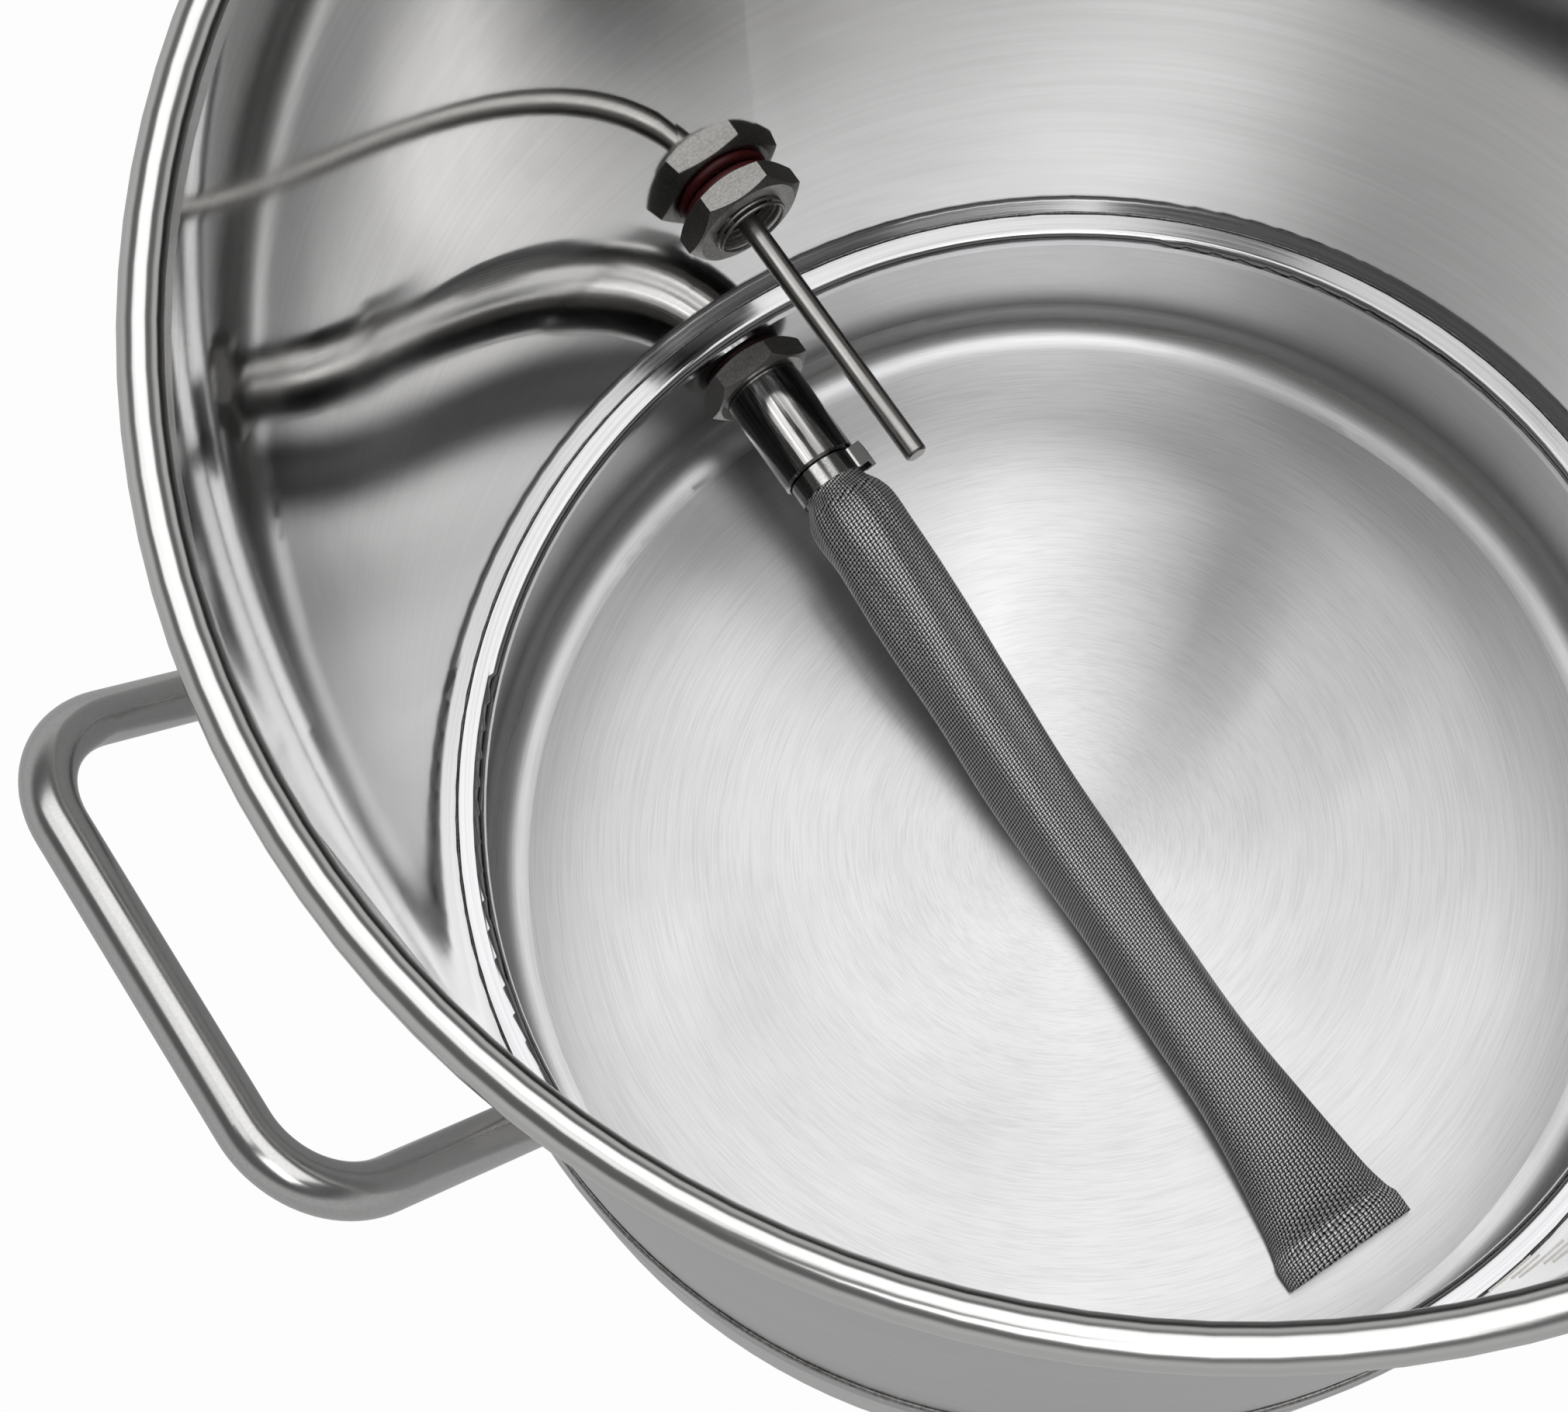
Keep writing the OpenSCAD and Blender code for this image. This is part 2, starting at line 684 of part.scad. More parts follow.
// Path and section of the screen, as [y, z, width, height, slope]
function screen_row(i) =
    let (row = screen_rows[i], low = sheet_t + rest_gap + row[3] / 2)
    [free_y0 + row[0] * (screen_y1 - free_y0), low + row[1] * (drain_z - low), row[2], row[3]];
function smooth_at(a, b, c, d, t) =
    0.5 * (2 * b + (c - a) * t + (2 * a - 5 * b + 4 * c - d) * t * t + (3 * b - a - 3 * c + d) * t * t * t);
last_row = len(screen_rows) - 1;
function row_at(i) = screen_row(min(max(i, 0), last_row));
screen_path = concat(
    [[screen_y0, drain_z, neck_w, neck_w], [free_y0 - 1, drain_z, neck_w, neck_w]],
    [for (i = [0:last_row - 1], k = [0:screen_steps - 1])
        smooth_at(row_at(i - 1), row_at(i), row_at(i + 1), row_at(i + 2), k / screen_steps)],
    [row_at(last_row)]);

function slope_at(i) =
    let (a = screen_path[max(i - 1, 0)], b = screen_path[min(i + 1, len(screen_path) - 1)])
    i < 2 ? 0 : atan2(b[1] - a[1], b[0] - a[0]);
function screen_ring(i, inset, dy) =
    let (p = screen_path[i], s = slope_at(i))
    [for (k = [0:screen_sides - 1])
        let (a = 360 * k / screen_sides, u = (p[3] / 2 - inset) * sin(a))
        [(p[2] / 2 - inset) * cos(a), p[0] + dy - u * sin(s), p[1] + u * cos(s)]];

module screen_solid(first, last, inset, dy) {
    n = screen_sides;
    rings = last - first + 1;
    pts = [for (i = [first:last]) each screen_ring(i, inset, i == first ? dy : 0)];
    sides = [for (i = [0:rings - 2], k = [0:n - 1])
        [i * n + k, i * n + (k + 1) % n, (i + 1) * n + (k + 1) % n, (i + 1) * n + k]];
    caps = [[for (k = [0:n - 1]) n - 1 - k], [for (k = [0:n - 1]) (rings - 1) * n + k]];
    polyhedron(pts, concat(sides, caps), convexity = 4);
}

module strainer_screen() {
    last = len(screen_path) - 1;
    color("darkgray") difference() {
        screen_solid(0, last, 0, 0);
        screen_solid(0, last - screen_steps, screen_t, -1);
    }
}

lower_pan();
pan_ledge();
upper_wall();
handle_right();
handle_left();
handle_pads_right();
handle_pads_left();
thermo_lock_nut();
thermo_seal_ring();
thermo_washer();
thermo_boss();
thermo_stem();
thermo_bimetal_coil();
thermo_spindle();
thermo_case();
thermo_dial();
thermo_pointer();
thermo_lens();
thermo_bezel();
drain_lock_nut();
drain_seal_ring();
drain_washer();
drain_nipple();
valve_end_cap();
valve_body();
valve_seat_inlet();
valve_seat_outlet();
valve_ball();
valve_stem();
valve_packing();
valve_packing_nut();
valve_lever();
valve_lever_nut();
valve_grip();
strainer_sleeve();
strainer_ear_clamp();
strainer_screen();
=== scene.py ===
import math

import bpy
from mathutils import Matrix, Vector, noise as fieldNoise


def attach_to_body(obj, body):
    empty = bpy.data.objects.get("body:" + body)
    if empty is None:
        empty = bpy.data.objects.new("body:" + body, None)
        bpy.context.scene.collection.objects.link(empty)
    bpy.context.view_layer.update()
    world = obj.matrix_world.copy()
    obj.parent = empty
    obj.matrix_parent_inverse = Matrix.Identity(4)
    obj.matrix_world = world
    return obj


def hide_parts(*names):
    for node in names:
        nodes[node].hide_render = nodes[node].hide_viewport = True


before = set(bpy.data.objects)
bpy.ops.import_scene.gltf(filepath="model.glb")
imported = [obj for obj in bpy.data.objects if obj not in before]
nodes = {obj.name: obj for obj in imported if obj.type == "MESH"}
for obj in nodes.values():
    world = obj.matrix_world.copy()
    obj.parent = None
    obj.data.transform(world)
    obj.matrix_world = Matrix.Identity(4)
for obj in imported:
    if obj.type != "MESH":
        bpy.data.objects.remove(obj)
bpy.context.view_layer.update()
print("stage: kettle loaded,", len(nodes), "pieces")

mm = 0.001

kettle = {
    "sheet": 1.2 * mm,
    "drainHeight": 40.2 * mm,
    "dialHeight": 161.2 * mm,
}

# small helpers that keep the material code short


def newMaterial(name):
    mat = bpy.data.materials.new(name)
    mat.use_nodes = True
    mat.node_tree.nodes.clear()
    return mat


def addNode(mat, kind, **settings):
    made = mat.node_tree.nodes.new("ShaderNode" + kind)
    for key, value in settings.items():
        setattr(made, key, value)
    return made


def plug(mat, target, value):
    if isinstance(value, bpy.types.NodeSocket):
        mat.node_tree.links.new(value, target)
    else:
        target.default_value = value


def maths(mat, operation, a, b=None, c=None, clamp=False):
    made = addNode(mat, "Math", operation=operation, use_clamp=clamp)
    for i, v in enumerate((a, b, c)):
        if v is not None:
            plug(mat, made.inputs[i], v)
    return made.outputs[0]


def vecMaths(mat, operation, a, b=None):
    made = addNode(mat, "VectorMath", operation=operation)
    plug(mat, made.inputs[0], a)
    if b is not None:
        plug(mat, made.inputs[1], b)
    return made.outputs["Value" if operation in ("LENGTH", "DOT_PRODUCT") else "Vector"]


def combine(mat, x, y, z):
    made = addNode(mat, "CombineXYZ")
    for i, v in enumerate((x, y, z)):
        plug(mat, made.inputs[i], v)
    return made.outputs[0]


def grain(mat, vector, scale, detail=2.0, rough=0.5):
    made = addNode(mat, "TexNoise")
    plug(mat, made.inputs["Vector"], vector)
    made.inputs["Scale"].default_value = scale
    made.inputs["Detail"].default_value = detail
    made.inputs["Roughness"].default_value = rough
    return made.outputs["Fac"]


def remap(mat, value, low, high, toLow, toHigh):
    made = addNode(mat, "MapRange", clamp=True)
    for i, v in enumerate((value, low, high, toLow, toHigh)):
        plug(mat, made.inputs[i], v)
    return made.outputs[0]


def mixColour(mat, factor, a, b):
    made = addNode(mat, "Mix", data_type="RGBA")
    plug(mat, made.inputs[0], factor)
    plug(mat, made.inputs[6], a)
    plug(mat, made.inputs[7], b)
    return made.outputs[2]


def bump(mat, height, distance, strength=1.0, under=None):
    made = addNode(mat, "Bump")
    made.inputs["Strength"].default_value = strength
    made.inputs["Distance"].default_value = distance
    plug(mat, made.inputs["Height"], height)
    if under is not None:
        plug(mat, made.inputs["Normal"], under)
    return made.outputs[0]


socketNames = {
    "colour": "Base Color", "metal": "Metallic", "rough": "Roughness", "aniso": "Anisotropic",
    "tangent": "Tangent", "normal": "Normal", "ior": "IOR", "through": "Transmission Weight",
}


def surface(mat, **settings):
    shader = addNode(mat, "BsdfPrincipled")
    for key, value in settings.items():
        plug(mat, shader.inputs[socketNames[key]], value)
    out = addNode(mat, "OutputMaterial")
    mat.node_tree.links.new(shader.outputs[0], out.inputs[0])


def rgba(r, g, b):
    return (r, g, b, 1.0)


black = rgba(0, 0, 0)


def axisCoords(mat, centre=(0, 0, 0), axis="z"):
    # position measured around one axis: radius, outward direction and distance along it
    coord = addNode(mat, "TexCoord").outputs["Object"]
    if tuple(centre) != (0, 0, 0):
        coord = vecMaths(mat, "SUBTRACT", coord, tuple(centre))
    split = addNode(mat, "SeparateXYZ")
    plug(mat, split.inputs[0], coord)
    x, y, z = split.outputs
    if axis == "y":
        flat, along, way = combine(mat, x, 0.0, z), y, (0, 1, 0)
    else:
        flat, along, way = combine(mat, x, y, 0.0), z, (0, 0, 1)
    return {
        "coord": coord, "along": along, "radius": vecMaths(mat, "LENGTH", flat),
        "out": vecMaths(mat, "NORMALIZE", flat), "way": way,
    }


def brushVector(mat, place, turns, fine):
    # long in the direction of turning, very fine across it
    across = maths(mat, "MULTIPLY", maths(mat, "ADD", place["radius"], place["along"]), fine)
    around = vecMaths(mat, "SCALE", place["out"])
    around.node.inputs["Scale"].default_value = turns
    diagonal = (0.577, 0.577, 0.577)
    lift = vecMaths(mat, "SCALE", diagonal)
    plug(mat, lift.node.inputs["Scale"], across)
    return vecMaths(mat, "ADD", around, lift)


def grooveTangent(mat, place):
    # highlights stretch across circular grooves
    around = vecMaths(mat, "CROSS_PRODUCT", place["way"], place["out"])
    normal = addNode(mat, "NewGeometry").outputs["Normal"]
    return vecMaths(mat, "CROSS_PRODUCT", normal, around)


# pan: brushed floor, satin wall

panLook = {
    "floorColour": rgba(0.80, 0.80, 0.81),
    "wallColour": rgba(0.68, 0.675, 0.67),
    "floorRough": 0.33,
    "wallRough": 0.24,
    "outsideRougher": 0.03,
    "aniso": 0.72,
    "scratchDepth": 0.004 * mm,
    "scratchStrength": 0.6,
    "scratchShade": 0.87,
    "scratchRange": (0.36, 0.56),
    "blotchScale": 14.0,
    "blotchRough": 0.03,
    # height over which the floor's finish ends, and radius over which the inside ends
    "floorTop": (1.5 * mm, 9 * mm),
    "insideRadius": (183.1 * mm, 183.4 * mm),
    # turns and fineness of the scratches
    "fineBrush": (9.0, 2300.0),
    "broadBrush": (1.6, 210.0),
    "broadShare": 0.2,
}


def panSteel():
    mat = newMaterial("brushedPanSteel")
    place = axisCoords(mat)
    radius, height = place["radius"], place["along"]
    onFloor = remap(mat, height, *panLook["floorTop"], 1.0, 0.0)
    inside = remap(mat, radius, *panLook["insideRadius"], 1.0, 0.0)
    fineLines = grain(mat, brushVector(mat, place, *panLook["fineBrush"]), 1.0, 4.0, 0.62)
    broadLines = grain(mat, brushVector(mat, place, *panLook["broadBrush"]), 1.0, 2.0, 0.55)
    blotch = grain(mat, place["coord"], panLook["blotchScale"], 3.0, 0.55)
    broadShare = panLook["broadShare"]
    lines = maths(mat, "ADD", maths(mat, "MULTIPLY", fineLines, 1 - broadShare),
                  maths(mat, "MULTIPLY", broadLines, broadShare))
    base = mixColour(mat, onFloor, panLook["wallColour"], panLook["floorColour"])
    dark = mixColour(mat, panLook["scratchShade"], black, base)
    colour = mixColour(mat, remap(mat, lines, *panLook["scratchRange"], 0.0, 1.0), dark, base)
    uneven = remap(mat, blotch, 0.3, 0.7, -panLook["blotchRough"], panLook["blotchRough"])
    rougher = maths(mat, "MULTIPLY", onFloor, panLook["floorRough"] - panLook["wallRough"])
    outside = maths(mat, "SUBTRACT", 1.0, inside)
    rough = maths(mat, "ADD", uneven, maths(mat, "ADD", rougher, panLook["wallRough"]))
    rough = maths(mat, "ADD", rough, maths(mat, "MULTIPLY", outside, panLook["outsideRougher"]))
    surface(mat, colour=colour, metal=1.0, rough=rough, aniso=panLook["aniso"],
            tangent=grooveTangent(mat, place),
            normal=bump(mat, lines, panLook["scratchDepth"], panLook["scratchStrength"]))
    return mat


# upper wall: close to a mirror inside, satin outside

wallLook = {
    "insideColour": rgba(0.78, 0.775, 0.765),
    "outsideColour": rgba(0.57, 0.57, 0.57),
    "insideRough": 0.05,
    "outsideRough": 0.25,
    "beadRough": 0.17,
    "aniso": 0.5,
    "wave": 0.05 * mm,
    "waveStrength": 0.5,
    "lineShade": 0.93,
    "lineRange": (0.35, 0.65),
    "cloudScale": 9.0,
    "cloudRough": (-0.015, 0.03),
    # height over which the rim bead starts, and radius over which the outside starts
    "beadHeight": (422.6 * mm, 423.2 * mm),
    "outsideRadius": (180.5 * mm, 180.9 * mm),
    # turns and fineness
    "lineBrush": (2.2, 420.0),
    "waveBrush": (4.0, 16.0),
}


def wallSteel():
    mat = newMaterial("polishedWallSteel")
    place = axisCoords(mat)
    radius, height = place["radius"], place["along"]
    onBead = remap(mat, height, *wallLook["beadHeight"], 0.0, 1.0)
    outside = maths(mat, "MULTIPLY", remap(mat, radius, *wallLook["outsideRadius"], 0.0, 1.0),
                    maths(mat, "SUBTRACT", 1.0, onBead))
    lines = grain(mat, brushVector(mat, place, *wallLook["lineBrush"]), 1.0, 3.0, 0.6)
    clouds = grain(mat, place["coord"], wallLook["cloudScale"], 3.0, 0.55)
    waves = grain(mat, brushVector(mat, place, *wallLook["waveBrush"]), 1.0, 1.0, 0.5)
    base = mixColour(mat, outside, wallLook["insideColour"], wallLook["outsideColour"])
    dark = mixColour(mat, wallLook["lineShade"], black, base)
    colour = mixColour(mat, remap(mat, lines, *wallLook["lineRange"], 0.0, 1.0), dark, base)
    insideRough = wallLook["insideRough"]
    rough = maths(mat, "ADD", insideRough, remap(mat, clouds, 0.35, 0.7, *wallLook["cloudRough"]))
    for share, other in ((outside, wallLook["outsideRough"]), (onBead, wallLook["beadRough"])):
        rough = maths(mat, "ADD", rough, maths(mat, "MULTIPLY", share, other - insideRough))
    surface(mat, colour=colour, metal=1.0, rough=rough, aniso=wallLook["aniso"],
            tangent=grooveTangent(mat, place),
            normal=bump(mat, waves, wallLook["wave"], wallLook["waveStrength"]))
    return mat


ledgeLook = {
    "darkLine": rgba(0.56, 0.56, 0.57),
    "brightLine": rgba(0.68, 0.68, 0.69),
    "lineRange": (0.35, 0.6),
    "rough": (0.08, 0.15),
    "aniso": 0.3,
    "scratchDepth": 0.01 * mm,
    "scratchStrength": 0.4,
    "brush": (2.5, 900.0),
}


def ledgeSteel():
    mat = newMaterial("polishedLedgeSteel")
    place = axisCoords(mat)
    lines = grain(mat, brushVector(mat, place, *ledgeLook["brush"]), 1.0, 2.0, 0.5)
    colour = mixColour(mat, remap(mat, lines, *ledgeLook["lineRange"], 0.0, 1.0), ledgeLook["darkLine"],
                       ledgeLook["brightLine"])
    rough = remap(mat, lines, 0.3, 0.7, *ledgeLook["rough"])
    surface(mat, colour=colour, metal=1.0, rough=rough, aniso=ledgeLook["aniso"],
            tangent=grooveTangent(mat, place),
            normal=bump(mat, lines, ledgeLook["scratchDepth"], ledgeLook["scratchStrength"]))
    return mat


# plainer finishes for the small pieces


def plainFinish(name, colour, shade, rough, spread, grainScale, pit, metal):
    mat = newMaterial(name)
    coord = addNode(mat, "TexCoord").outputs["Object"]
    fine = grain(mat, coord, grainScale, 4.0, 0.6)
    broadShare = 0.05
    broad = grain(mat, coord, grainScale * broadShare, 2.0, 0.5)
    worn = rgba(*(part * shade for part in colour))
    mixed = mixColour(mat, remap(mat, fine, 0.35, 0.65, 0.0, 1.0), worn, rgba(*colour))
    surface(mat, colour=mixed, metal=metal, rough=remap(mat, broad, 0.3, 0.7, rough - spread, rough + spread),
            normal=bump(mat, fine, pit, 0.5))
    return mat


smallLooks = {
    # colour, darker share, roughness, its spread, grain scale, pit depth, metal
    "handleSatin": ((0.62, 0.615, 0.61), 0.93, 0.2, 0.03, 1500, 0.006 * mm, 1.0),
    "castNutSteel": ((0.56, 0.55, 0.535), 0.68, 0.42, 0.06, 1300, 0.09 * mm, 1.0),
    "machinedSteel": ((0.55, 0.53, 0.50), 0.9, 0.24, 0.04, 2500, 0.006 * mm, 1.0),
    "stemSatin": ((0.55, 0.54, 0.525), 0.88, 0.3, 0.04, 2600, 0.012 * mm, 1.0),
    "castValveSteel": ((0.48, 0.47, 0.45), 0.8, 0.36, 0.05, 1400, 0.05 * mm, 1.0),
    "polishedSleeve": ((0.62, 0.61, 0.6), 0.97, 0.06, 0.015, 900, 0.003 * mm, 1.0),
    "weldSteel": ((0.42, 0.41, 0.4), 0.5, 0.3, 0.1, 900, 0.08 * mm, 1.0),
    "coilStrip": ((0.58, 0.44, 0.2), 0.9, 0.3, 0.05, 900, 0.01 * mm, 1.0),
    "pointerPaint": ((0.012, 0.012, 0.013), 0.8, 0.35, 0.03, 600, 0.003 * mm, 0.0),
    "dialEnamel": ((0.86, 0.86, 0.84), 0.98, 0.4, 0.03, 500, 0.002 * mm, 0.0),
    "whiteSeat": ((0.82, 0.82, 0.79), 0.96, 0.45, 0.04, 700, 0.01 * mm, 0.0),
    "redSilicone": ((0.13, 0.012, 0.015), 0.7, 0.42, 0.05, 900, 0.02 * mm, 0.0),
    # the drain seal's red is darkened as painted shade, standing in for the deep shade round the drain
    "siliconePaintedShade": ((0.03, 0.003, 0.004), 0.7, 0.5, 0.05, 900, 0.02 * mm, 0.0),
    "blackVinyl": ((0.014, 0.014, 0.016), 0.8, 0.42, 0.06, 1100, 0.03 * mm, 0.0),
}
small = {name: plainFinish(name, *look) for name, look in smallLooks.items()}

# pieces with a finish of their own

sleeveLook = {
    "darkStreak": rgba(0.30, 0.295, 0.29),
    "brightStreak": rgba(0.66, 0.655, 0.65),
    "streakRange": (0.38, 0.62),
    "rough": (0.16, 0.07),
    "scaleAlong": 14.0,
    "scaleAround": 13.0,
    "streakDepth": 0.12 * mm,
}


def sleeveSteel():
    mat = newMaterial("drawnSleeveSteel")
    place = axisCoords(mat, (0, 0, kettle["drainHeight"]), "y")
    along = combine(mat, 0.0, maths(mat, "MULTIPLY", place["along"], sleeveLook["scaleAlong"]), 0.0)
    around = vecMaths(mat, "SCALE", place["out"])
    around.node.inputs["Scale"].default_value = sleeveLook["scaleAround"]
    streaks = grain(mat, vecMaths(mat, "ADD", along, around), 1.0, 4.0, 0.62)
    bright = remap(mat, streaks, *sleeveLook["streakRange"], 0.0, 1.0)
    colour = mixColour(mat, bright, sleeveLook["darkStreak"], sleeveLook["brightStreak"])
    surface(mat, colour=colour, metal=1.0, rough=remap(mat, streaks, 0.3, 0.7, *sleeveLook["rough"]),
            normal=bump(mat, streaks, sleeveLook["streakDepth"], 0.5))
    return mat


clampLook = {
    "bandDark": rgba(0.42, 0.415, 0.41),
    "bandBright": rgba(0.6, 0.6, 0.595),
    # the ear's colour is painted shade, much darker than the band's steel
    "ear": rgba(0.13, 0.13, 0.13),
    "bandRough": 0.17,
    "earRough": 0.36,
    "earStarts": (11.8 * mm, 12.2 * mm),
    "grainScale": 1900.0,
    "pit": 0.01 * mm,
}


def clampSteel():
    # the crimped ear is duller than the band: rougher, and its colour darkened as painted shade
    mat = newMaterial("clampSteel")
    place = axisCoords(mat, (0, 0, kettle["drainHeight"]), "y")
    onShadedEar = remap(mat, place["radius"], *clampLook["earStarts"], 0.0, 1.0)
    fine = grain(mat, place["coord"], clampLook["grainScale"], 3.0, 0.6)
    band = mixColour(mat, remap(mat, fine, 0.35, 0.65, 0.0, 1.0), clampLook["bandDark"],
                     clampLook["bandBright"])
    rough = remap(mat, onShadedEar, 0.0, 1.0, clampLook["bandRough"], clampLook["earRough"])
    surface(mat, colour=mixColour(mat, onShadedEar, band, clampLook["ear"]), metal=1.0, rough=rough,
            normal=bump(mat, fine, clampLook["pit"], 0.5))
    return mat


lensLook = {"colour": rgba(0.97, 0.98, 0.98), "smearScale": 60.0, "smearRough": 0.03, "ior": 1.45}


def lensGlass():
    mat = newMaterial("lensGlass")
    coord = addNode(mat, "TexCoord").outputs["Object"]
    smear = grain(mat, coord, lensLook["smearScale"], 3.0, 0.5)
    surface(mat, colour=lensLook["colour"], rough=remap(mat, smear, 0.4, 0.7, 0.0, lensLook["smearRough"]),
            through=1.0, ior=lensLook["ior"])
    return mat


finishes = {
    "lower_pan": panSteel(), "upper_wall": wallSteel(), "pan_ledge": ledgeSteel(), "thermo_lens": lensGlass(),
    "handle_right": small["handleSatin"], "handle_left": small["handleSatin"],
    "handle_pads_right": small["handleSatin"], "handle_pads_left": small["handleSatin"],
    "thermo_lock_nut": small["castNutSteel"], "drain_lock_nut": small["castNutSteel"],
    "thermo_seal_ring": small["redSilicone"], "drain_seal_ring": small["siliconePaintedShade"],
    "thermo_stem": small["stemSatin"], "thermo_bimetal_coil": small["coilStrip"],
    "thermo_dial": small["dialEnamel"], "thermo_pointer": small["pointerPaint"],
    "thermo_case": small["polishedSleeve"], "thermo_bezel": small["polishedSleeve"],
    "valve_body": small["castValveSteel"], "valve_end_cap": small["castValveSteel"],
    "valve_seat_inlet": small["whiteSeat"], "valve_seat_outlet": small["whiteSeat"],
    "valve_packing": small["whiteSeat"], "valve_grip": small["blackVinyl"],
    "valve_ball": small["polishedSleeve"], "strainer_sleeve": sleeveSteel(),
    "strainer_ear_clamp": clampSteel(),
}
for name, node in nodes.items():
    node.data.materials.clear()
    node.data.materials.append(finishes.get(name, small["machinedSteel"]))
print("stage: finishes set")

# strainer screen: a woven tube that drops from the sleeve to the floor and is pressed flat at its end

screenShape = {
    "start": -136.2 * mm, "freeStart": -128.4 * mm, "end": 150.6 * mm,
    "floorGap": 0.4 * mm, "lowestGap": 0.3 * mm, "thickness": 0.5 * mm,
    "sides": 96, "rings": 230, "weldDistance": 0.02 * mm,
    "dent": 1.6 * mm, "dentScale": 1.1, "dentScaleAlong": 22, "dentStart": 12, "dentFade": 0.6,
    "fold": 0.55 * mm, "folds": 5, "foldTwist": 16, "foldStart": 8,
    "pleat": 0.45 * mm, "pleats": 11, "pleatStart": 60, "pleatFade": 16,
    # the tube leans with its slope, except close to its ends
    "slopeStep": 0.01, "slopeWithin": (0.02, 0.98),
    # share of the free length, share of the fall, width, height
    "rows": (
        (0.00, 1.00, 21.0, 21.0), (0.03, 0.98, 28.6, 27.0), (0.08, 0.92, 29.0, 26.6),
        (0.17, 0.70, 28.2, 26.2), (0.26, 0.42, 27.3, 25.2), (0.36, 0.18, 26.9, 24.2),
        (0.50, 0.02, 26.7, 23.2), (0.71, 0.00, 26.3, 21.2), (0.84, 0.00, 30.6, 15.8),
        (0.93, 0.00, 37.4, 8.4), (0.966, 0.00, 42.6, 3.7), (0.973, 0.00, 44.4, 5.4), (1.00, 0.00, 44.9, 4.6),
    ),
}

screenLook = {
    "wiresAround": 72, "pitch": 1.1 * mm, "skew": 0.25,
    "wireReach": 0.8, "wireGirth": 1.35, "runHeight": 0.8, "wireBump": 0.22 * mm, "bumpStrength": 0.8,
    "litRange": (0.02, 0.4),
    # the dark colour is painted shade between the wires, the pale one a painted highlight on their tops
    "gap": rgba(0.012, 0.012, 0.012), "wireTopHighlight": rgba(0.95, 0.95, 0.955), "metal": 0.5, "rough": 0.3,
}


def screenSection(share):
    # fall, width and height at one share of the length, curving smoothly through the rows
    rows = screenShape["rows"]
    i = max(k for k in range(len(rows) - 1) if rows[k][0] <= share or k == 0)
    a, b = rows[i], rows[i + 1]
    before, after = rows[max(i - 1, 0)], rows[min(i + 2, len(rows) - 1)]
    t = (share - a[0]) / (b[0] - a[0])
    out = []
    for j in (1, 2, 3):
        slopeA = (b[j] - before[j]) / max(b[0] - before[0], 1e-6) * (b[0] - a[0])
        slopeB = (after[j] - a[j]) / max(after[0] - a[0], 1e-6) * (b[0] - a[0])
        out.append((2 * t**3 - 3 * t**2 + 1) * a[j] + (t**3 - 2 * t**2 + t) * slopeA
                   + (3 * t**2 - 2 * t**3) * b[j] + (t**3 - t**2) * slopeB)
    return out


def screenMaterial():
    mat = newMaterial("wovenScreenWire")
    uv = addNode(mat, "UVMap", uv_map="UVMap").outputs[0]
    split = addNode(mat, "SeparateXYZ")
    plug(mat, split.inputs[0], uv)
    wiresAlong = (screenShape["end"] - screenShape["start"]) / screenLook["pitch"]
    around = maths(mat, "MULTIPLY", split.outputs[0], screenLook["wiresAround"])
    along = maths(mat, "MULTIPLY", split.outputs[1], wiresAlong)
    along = maths(mat, "ADD", along, maths(mat, "MULTIPLY", around, screenLook["skew"]))
    cellU, cellV = maths(mat, "FLOOR", around), maths(mat, "FLOOR", along)
    partU, partV = (
        maths(mat, "SUBTRACT", maths(mat, "MULTIPLY", maths(mat, "SUBTRACT", whole, cell), 2.0), 1.0)
        for whole, cell in ((around, cellU), (along, cellV))
    )
    odd = maths(mat, "MODULO", maths(mat, "ADD", cellU, cellV), 2.0)

    def strand(longWay, crossWay):
        # one visible hump of a wire, rounded across and tapering at both ends
        reach = maths(mat, "POWER", maths(mat, "MULTIPLY", longWay, screenLook["wireReach"]), 2.0)
        girth = maths(mat, "POWER", maths(mat, "MULTIPLY", crossWay, screenLook["wireGirth"]), 2.0)
        return maths(mat, "SUBTRACT", 1.0, maths(mat, "ADD", reach, girth), clamp=True)

    rounds = maths(mat, "MULTIPLY", strand(partU, partV), maths(mat, "SUBTRACT", 1.0, odd))
    runs = maths(mat, "MULTIPLY", maths(mat, "MULTIPLY", strand(partV, partU), odd), screenLook["runHeight"])
    height = maths(mat, "ADD", rounds, runs)
    # the colour follows the height of the wires: painted black shade in the gaps and down their sides, a
    # painted highlight on their tops
    lit = remap(mat, height, *screenLook["litRange"], 0.0, 1.0)
    colour = mixColour(mat, lit, screenLook["gap"], screenLook["wireTopHighlight"])
    surface(mat, colour=colour, metal=screenLook["metal"], rough=screenLook["rough"],
            normal=bump(mat, height, screenLook["wireBump"], screenLook["bumpStrength"]))
    return mat


def screenMiddle(share):
    # height of the tube's centre line, with its width and height
    fall, width, high = screenSection(share)
    low = kettle["sheet"] + screenShape["floorGap"] + high * mm / 2
    return low + fall * (kettle["drainHeight"] - low), width * mm, high * mm


def screenDent(angle, y, share):
    # soft dents and lengthwise folds fade in past the clamp, and pleats fade out
    shape = screenShape
    scale = shape["dentScale"]
    spot = Vector((math.cos(angle) * scale, math.sin(angle) * scale, y * shape["dentScaleAlong"]))
    dent = fieldNoise.noise(spot) * shape["dent"]
    folds = math.cos(shape["folds"] * angle + shape["foldTwist"] * y)
    dent += shape["fold"] * folds * min(1.0, share * shape["foldStart"])
    dent *= min(1.0, share * shape["dentStart"]) * (1 - share * shape["dentFade"])
    pleats = math.cos(shape["pleats"] * angle) * min(1.0, share * shape["pleatStart"])
    return dent + shape["pleat"] * pleats * math.exp(-share * shape["pleatFade"])


